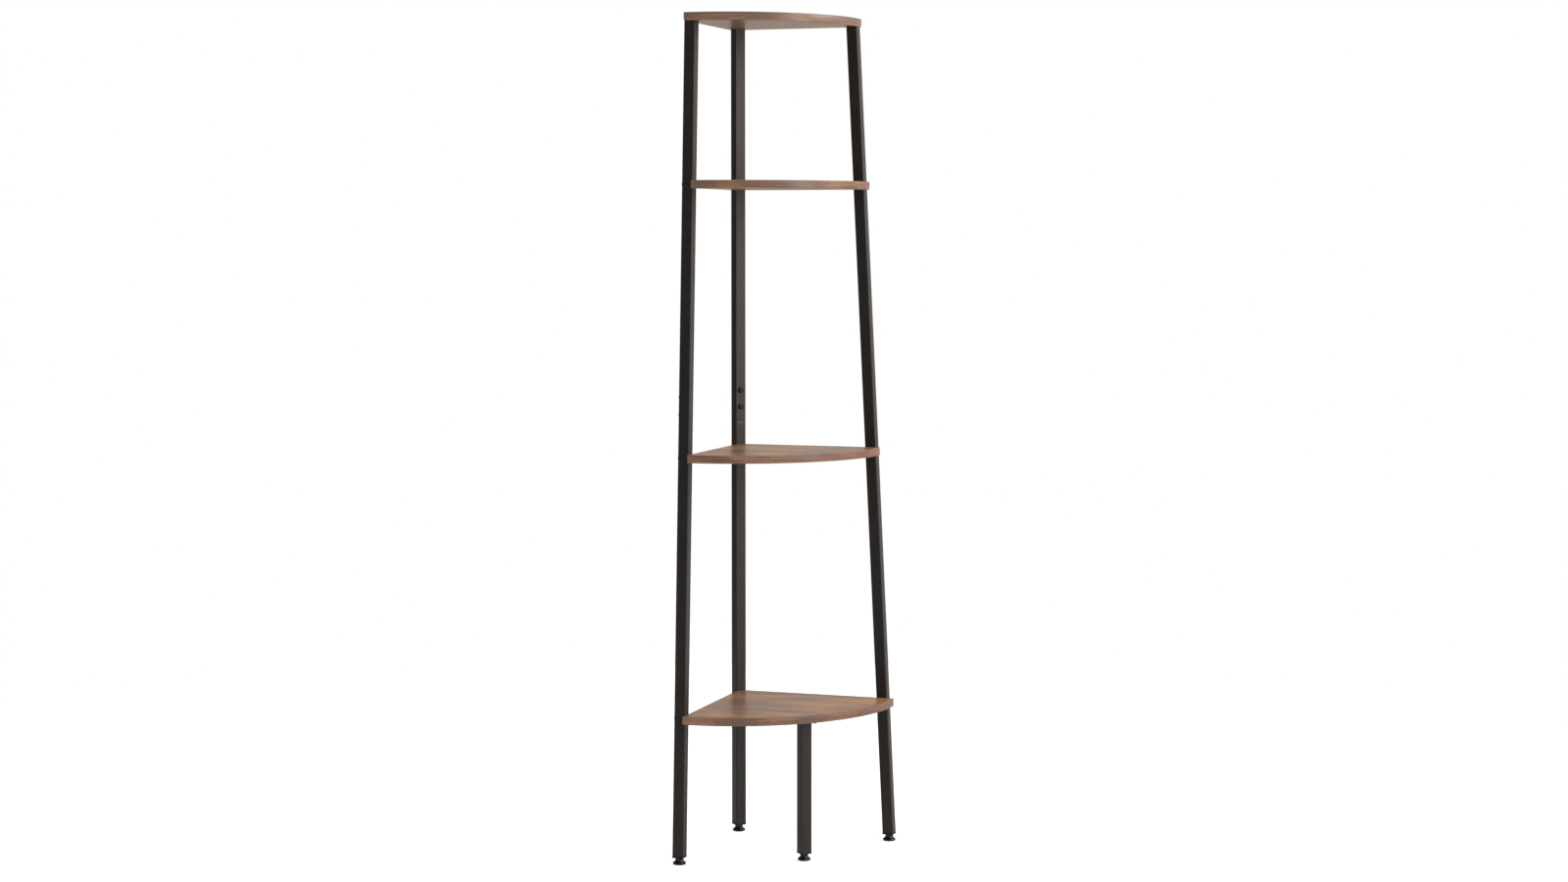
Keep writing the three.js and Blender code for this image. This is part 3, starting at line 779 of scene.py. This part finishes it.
def woodgrain(name, shift, band):
    """Melamine paper printed as rustic brown wood under a satin resin face: long soft patches from
    grey-mauve to tan, finer streaks and fibres, wavy growth lines and short dark pores, all along
    the grain. On a board's face the grain runs along X, and on its band along the edge."""
    material, tree, shader = new_material(name)
    if band:
        source = add(tree, "Attribute", attribute_name="along_band").outputs["Vector"]
    else:
        source = add(tree, "TexCoord").outputs["Object"]

    def printed(layer_name, kind="TexNoise", **settings):
        """Strength of one layer of the print: a texture stretched along the grain."""
        layer = WOOD_LAYERS[layer_name]
        place = (layer["place"], shift + layer["place"], layer["place"])
        scale = (1 / layer["length"], 1 / layer["width"], 1 / layer["width"])
        mapped = add(tree, "Mapping", {"Vector": source, "Location": place, "Scale": scale})
        inputs = {"Vector": mapped.outputs["Vector"], "Scale": 1.0, **layer["texture"]}
        return add(tree, kind, inputs, **settings).outputs["Fac"]

    streak = printed("streak")
    inputs = {"Factor": STREAK_SHARE, NUMBER_A: printed("patch"), NUMBER_B: streak}
    blend = add(tree, "Mix", inputs).outputs[NUMBER_OUT]
    patches = BAND_PATCHES if band else FACE_PATCHES
    colour = add(tree, "ValToRGB", {"Fac": blend}, patches).outputs["Color"]
    fibres = add(tree, "MapRange", {"Value": printed("fibre"), **FIBRE_SHADE}).outputs["Result"]
    inputs = {0: colour, "Scale": fibres}
    colour = add(tree, "VectorMath", inputs, operation="SCALE").outputs["Vector"]
    ring = printed("ring", "TexWave", bands_direction="Y")
    rings = add(tree, "MapRange", {"Value": ring, **RING_SHADE}).outputs["Result"]
    pores = add(tree, "MapRange", {"Value": printed("pore"), **PORE_SHADE}).outputs["Result"]
    for strength, dark in ((rings, RING_COLOUR), (pores, PORE_COLOUR)):
        inputs = {"Factor": strength, COLOUR_A: colour, COLOUR_B: linear(dark)}
        colour = add(tree, "Mix", inputs, data_type="RGBA").outputs[COLOUR_OUT]
    gloss = add(tree, "MapRange", {"Value": streak, **RESIN_GLOSS})
    bump = add(tree, "Bump", {"Height": pores, **PORE_DENT}, invert=True)
    tree.links.new(colour, shader.inputs["Base Color"])
    tree.links.new(gloss.outputs["Result"], shader.inputs["Roughness"])
    tree.links.new(bump.outputs["Normal"], shader.inputs["Normal"])
    shader.inputs["IOR"].default_value = RESIN_IOR
    return material


GRAIN_NOISE = {"Scale": 1.0, "Detail": 3.0, "Roughness": 0.55}
GRAIN_SPREAD = {"From Min": 0.3, "From Max": 0.7}
GRAIN_LIFT = 0.6
CLOUD_NOISE = {"Scale": 0.04, "Detail": 2.0}
CLOUD_SPREAD = (0.35, 0.65)


def grained(name, colours, roughness, grain_size, grain_depth, metallic=0.0, ior=None):
    """Finish with a fine all-over grain: a noise of a real grain size lifts the surface and varies
    its roughness, and a cloud 25 times as wide varies its colour a little. A metal keeps the
    default IOR."""
    material, tree, shader = new_material(name)
    source = add(tree, "TexCoord").outputs["Object"]
    inputs = {"Vector": source, "Scale": (1 / grain_size,) * 3}
    mapped = add(tree, "Mapping", inputs).outputs["Vector"]
    fine = add(tree, "TexNoise", {"Vector": mapped, **GRAIN_NOISE}).outputs["Fac"]
    cloud = add(tree, "TexNoise", {"Vector": mapped, **CLOUD_NOISE}).outputs["Fac"]
    colour = add(tree, "ValToRGB", {"Fac": cloud}, zip(CLOUD_SPREAD, colours))
    inputs = {"Value": fine, **GRAIN_SPREAD, "To Min": roughness[0], "To Max": roughness[1]}
    rough = add(tree, "MapRange", inputs)
    bump = add(tree, "Bump", {"Height": fine, "Strength": GRAIN_LIFT, "Distance": grain_depth})
    tree.links.new(colour.outputs["Color"], shader.inputs["Base Color"])
    tree.links.new(rough.outputs["Result"], shader.inputs["Roughness"])
    tree.links.new(bump.outputs["Normal"], shader.inputs["Normal"])
    shader.inputs["Metallic"].default_value = metallic
    if ior:
        shader.inputs["IOR"].default_value = ior
    return material


WOODGRAIN_FACE = woodgrain("rustic_brown_melamine_face", shift=5.6, band=False)
WOODGRAIN_BAND = woodgrain("rustic_brown_edge_band", shift=5.7, band=True)
# The grains below are finer on the real pieces. They are drawn 0.6 to 1.5 mm wide so that they show

# Polyester powder baked on steel: satin black with a faint orange-peel skin
POWDER_COAT = grained(
    "black_powder_coat",
    colours=("#1f1b1a", "#231f1d"),
    roughness=(0.41, 0.51),
    grain_size=0.0015,
    grain_depth=0.00003,
    ior=1.5,
)
# Black oxide on a rolled and hardened screw: dark satin steel
BLACK_SCREW = grained(
    "black_oxide_screw",
    colours=("#222122", "#2d2c2d"),
    roughness=(0.22, 0.32),
    grain_size=0.0006,
    grain_depth=0.00001,
    metallic=0.85,
)
# Bright zinc plate on steel: pale metal with a faint bluish cloud
ZINC = grained(
    "zinc_plated_steel",
    colours=("#a9adb0", "#c3c6c8"),
    roughness=(0.26, 0.38),
    grain_size=0.0008,
    grain_depth=0.00001,
    metallic=1.0,
)
# Moulded nylon: matt black with a fine eroded skin
NYLON = grained(
    "moulded_black_nylon",
    colours=("#141414", "#1b1b1b"),
    roughness=(0.42, 0.55),
    grain_size=0.0007,
    grain_depth=0.00002,
    ior=1.53,
)
# Moulded polypropylene from a polished tool: glossy black
FOOT_PLASTIC = grained(
    "glossy_black_foot_plastic",
    colours=("#0f0f0f", "#151515"),
    roughness=(0.20, 0.30),
    grain_size=0.0010,
    grain_depth=0.00001,
    ior=1.49,
)


def finish_inner_nodes():
    """Gives their finish to the CAD nodes that no piece stands for, inside tubes and boards."""
    for side in LONG_LEGS:
        repaint(f"{side}_leg_joint_sleeve", ZINC)
        repaint(f"{side}_leg_top_plug", NYLON)
        for shelf in SHELVES:
            repaint(f"{shelf}_insert_{side}", ZINC)


def repaint(node, material):
    """Puts a material in every slot of a CAD node."""
    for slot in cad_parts[node].material_slots:
        slot.material = material


# Studio

# Strength of the world to diffuse light. Glossy faces mirror a room instead: it grows brighter
# towards one side, and white towards the backdrop. The sides are angles in degrees from the front
# round to the right
AMBIENT = 0.56
BRIGHT_SIDE = 85
BRIGHT_SIDE_GLOW = {"From Min": 0.0, "From Max": 1.0, "To Min": 0.12, "To Max": 1.0}
BACKDROP_SIDE = 172
BACKDROP_GLOW = {"From Min": 0.6, "From Max": 0.95, "To Min": 0.0, "To Max": 0.8}
BACKDROP_WARMTH = linear("#fff0e4")
WHITE = (1.0, 1.0, 1.0, 1.0)

FLOOR_RADIUS = 2.2
FLOOR_SIDES = 96
FLOOR_LIFT = 0.70
FLOOR_SPECKLE_SCALE = 40.0
FLOOR_PAINT = [(0.3, "#d8d8d8"), (0.7, "#dcdcdc")]
FLOOR_ROUGHNESS = 0.9

LIT_POINT = (0.0, 0.0, 0.9)
LAMP_WARMTH = linear("#fff6ee")
SOFT_BOXES = [
    {
        "name": "key_box",
        "place": (2.51, 0.67, 2.6),
        "size": (1.8, 1.8),
        "power": 70.0,
        "mirrored": True,
        "lights": True,
    },
    {
        "name": "strip_box",
        "place": (2.32, -0.68, 1.5),
        "size": (0.5, 2.3),
        "power": 19.0,
        "mirrored": True,
        "lights": False,
    },
    {
        "name": "fill_box",
        "place": (-1.5, -3.5, 1.6),
        "size": (2.5, 2.5),
        "power": 17.0,
        "mirrored": False,
        "lights": True,
    },
]


def toward(azimuth):
    """Level direction at an angle in degrees from the front of the unit round to its right."""
    angle = np.radians(azimuth)
    return (float(np.sin(angle)), float(-np.cos(angle)), 0.0)


def studio_world():
    """White to the camera; a plain grey-white to diffuse light; and for reflections white behind
    the unit and bright on the right, and dark in front and on the left, as a dim room with a soft
    box and a backdrop."""
    world = bpy.data.worlds.new("studio")
    world.use_nodes = True
    tree = world.node_tree
    tree.nodes.clear()
    ray = add(tree, "LightPath")
    way = add(tree, "TexCoord").outputs["Generated"]
    right = add(tree, "VectorMath", {0: way, 1: toward(BRIGHT_SIDE)}, operation="DOT_PRODUCT")
    behind = add(tree, "VectorMath", {0: way, 1: toward(BACKDROP_SIDE)}, operation="DOT_PRODUCT")
    side = add(tree, "MapRange", {"Value": right.outputs["Value"], **BRIGHT_SIDE_GLOW})
    inputs = {"Value": behind.outputs["Value"], **BACKDROP_GLOW}
    drop = add(tree, "MapRange", inputs, interpolation_type="SMOOTHSTEP")
    inputs = {0: side.outputs["Result"], 1: drop.outputs["Result"]}
    room = add(tree, "Math", inputs, operation="MAXIMUM").outputs["Value"]
    inputs = {0: ray.outputs["Is Glossy Ray"], 1: ray.outputs["Is Transmission Ray"]}
    mirrored = add(tree, "Math", inputs, operation="MAXIMUM").outputs["Value"]
    inputs = {"Factor": mirrored, NUMBER_A: AMBIENT, NUMBER_B: room}
    unseen = add(tree, "Mix", inputs).outputs[NUMBER_OUT]
    inputs = {"Factor": ray.outputs["Is Camera Ray"], NUMBER_A: unseen, NUMBER_B: 1.0}
    strength = add(tree, "Mix", inputs).outputs[NUMBER_OUT]
    inputs = {"Factor": mirrored, COLOUR_A: WHITE, COLOUR_B: BACKDROP_WARMTH}
    tint = add(tree, "Mix", inputs, data_type="RGBA").outputs[COLOUR_OUT]
    sky = add(tree, "Background", {"Color": tint, "Strength": strength})
    add(tree, "OutputWorld", {"Surface": sky.outputs["Background"]})
    bpy.context.scene.world = world


def floor():
    """Pale round floor that keeps the unit's shadow; camera rays see it lifted to white."""
    points = np.concatenate([circle(FLOOR_RADIUS, FLOOR_SIDES), np.zeros((FLOOR_SIDES, 1))], 1)
    material, tree, shader = new_material("pale_floor_paint")
    ray = add(tree, "LightPath")
    source = add(tree, "TexCoord").outputs["Object"]
    speckle = add(tree, "TexNoise", {"Vector": source, "Scale": FLOOR_SPECKLE_SCALE})
    paint = add(tree, "ValToRGB", {"Fac": speckle.outputs["Fac"]}, FLOOR_PAINT)
    lift = add(tree, "Math", {0: ray.outputs["Is Camera Ray"], 1: FLOOR_LIFT}, operation="MULTIPLY")
    tree.links.new(paint.outputs["Color"], shader.inputs["Base Color"])
    tree.links.new(lift.outputs["Value"], shader.inputs["Emission Strength"])
    shader.inputs["Emission Color"].default_value = WHITE
    shader.inputs["Roughness"].default_value = FLOOR_ROUGHNESS
    make_piece("floor", [cap([points], upward=True)], material)


def soft_box(box):
    """Rectangular lamp that looks at the unit: glossy faces mirror it, it lights the rest, or both."""
    lamp = bpy.data.lights.new(box["name"], "AREA")
    lamp.shape = "RECTANGLE"
    lamp.size, lamp.size_y = box["size"]
    lamp.energy = box["power"]
    lamp.color = LAMP_WARMTH[:3]
    holder = bpy.data.objects.new(box["name"], lamp)
    holder.location = box["place"]
    holder.rotation_euler = (Vector(LIT_POINT) - holder.location).to_track_quat("-Z", "Y").to_euler()
    holder.visible_glossy = box["mirrored"]
    holder.visible_diffuse = box["lights"]
    bpy.context.scene.collection.objects.link(holder)


def camera():
    """Camera at the photograph's viewing angle."""
    data = bpy.data.cameras.new("camera")
    data.lens = CAMERA_LENS
    data.sensor_width = CAMERA_SENSOR
    holder = bpy.data.objects.new("camera", data)
    holder.location = CAMERA_PLACE
    holder.rotation_euler = Euler(np.radians([90 - CAMERA_PITCH, 0, CAMERA_YAW]))
    bpy.context.scene.collection.objects.link(holder)
    bpy.context.scene.camera = holder


# Assembly

def head_places():
    """Places (x, y) of the bolts that go down through the top board."""
    boxes = [node_box(f"top_board_bolt_{side}") for side in LONG_LEGS]
    return [(low + high)[:2] / 2 for low, high in boxes]


CORNER_CUT = TUBE_SIDE / 2**0.5
BOARDS = [
    {"node": "top_board", "corner_cut": TOP_CORNER_CUT, "band_start": 0.0, "bolts": head_places()},
    {"node": "upper_shelf", "corner_cut": CORNER_CUT, "band_start": 1.7, "bolts": []},
    {"node": "middle_shelf", "corner_cut": CORNER_CUT, "band_start": 3.1, "bolts": []},
    {"node": "bottom_shelf", "corner_cut": CORNER_CUT, "band_start": 4.9, "bolts": []},
]

for board in BOARDS:
    slab(board)
    edge_band(board)
for leg_number, side in enumerate(LONG_LEGS):
    long_leg_tubes(side)
    top_bolt(side)
    for shelf_number, shelf in enumerate(SHELVES):
        spin = BOLT_SPIN_PER_SHELF * shelf_number + BOLT_SPIN_PER_LEG * leg_number
        board_bolt(side, shelf, spin)
    for level, (first, step) in JOINT_SCREW_SPINS.items():
        joint_screw(side, level, first + step * leg_number)
front_leg_frame()
for number in range(1, PLATE_SCREWS + 1):
    plate_screw(number)
for side in LEGS:
    end_plug(side)
    foot_base(side)
    foot_stud(side)
finish_inner_nodes()

studio_world()
floor()
for box in SOFT_BOXES:
    soft_box(box)
camera()
bpy.context.scene.view_settings.view_transform = "Standard"
